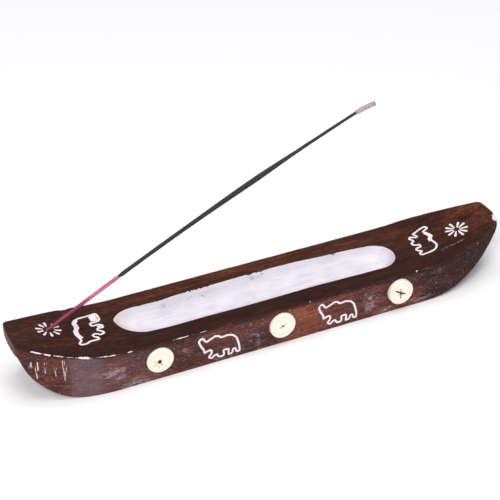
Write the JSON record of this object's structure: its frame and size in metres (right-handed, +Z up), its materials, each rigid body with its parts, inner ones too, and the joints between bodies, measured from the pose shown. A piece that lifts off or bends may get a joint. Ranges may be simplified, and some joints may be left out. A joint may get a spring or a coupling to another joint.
{
  "type": "incense burner",
  "caption": "Boat-shaped carved wooden incense holder with an ash trough, inlaid wood slices, engraved white-filled outlines and a removable incense stick.",
  "frame": {"origin": "middle of the flat bottom, at the centre of the object's outer box", "axes": "+X along the boat towards its right end, away from the stick's hole; +Y across it towards the far side; +Z up"},
  "size_m": [0.302, 0.058, 0.1255],
  "materials": {
    "stained_wood": "dark brown stain, worn semi-gloss",
    "whitewash": "matte limewash",
    "branch_slice": "bare sanded end grain with dark pith",
    "white_filler": "matte chalk filler",
    "dyed_bamboo": "crimson pink dye, satin",
    "incense_paste": "matte charcoal paste",
    "ash": "matte pinkish grey ash"
  },
  "bodies": {
    "boat": {"hull": "stained_wood", "trough_whitewash": "whitewash", "near_disc_left": "branch_slice", "near_disc_middle": "branch_slice", "near_disc_right": "branch_slice", "far_disc_left": "branch_slice", "far_disc_middle": "branch_slice", "far_disc_right": "branch_slice", "near_elephant_left": "white_filler", "near_elephant_right": "white_filler", "far_elephant_left": "white_filler", "far_elephant_right": "white_filler", "deck_elephant_left": "white_filler", "deck_elephant_right": "white_filler", "star_left": "white_filler", "star_right": "white_filler"},
    "stick": {"stick_core": "dyed_bamboo", "stick_paste": "incense_paste", "stick_ash": "ash"}
  },
  "joints": [
    {"name": "stick_slide", "type": "slide", "parent": "boat", "child": "stick", "axis": [0.8699, -0.0273, 0.4924], "range_m": [0, 0.015]}
  ]
}
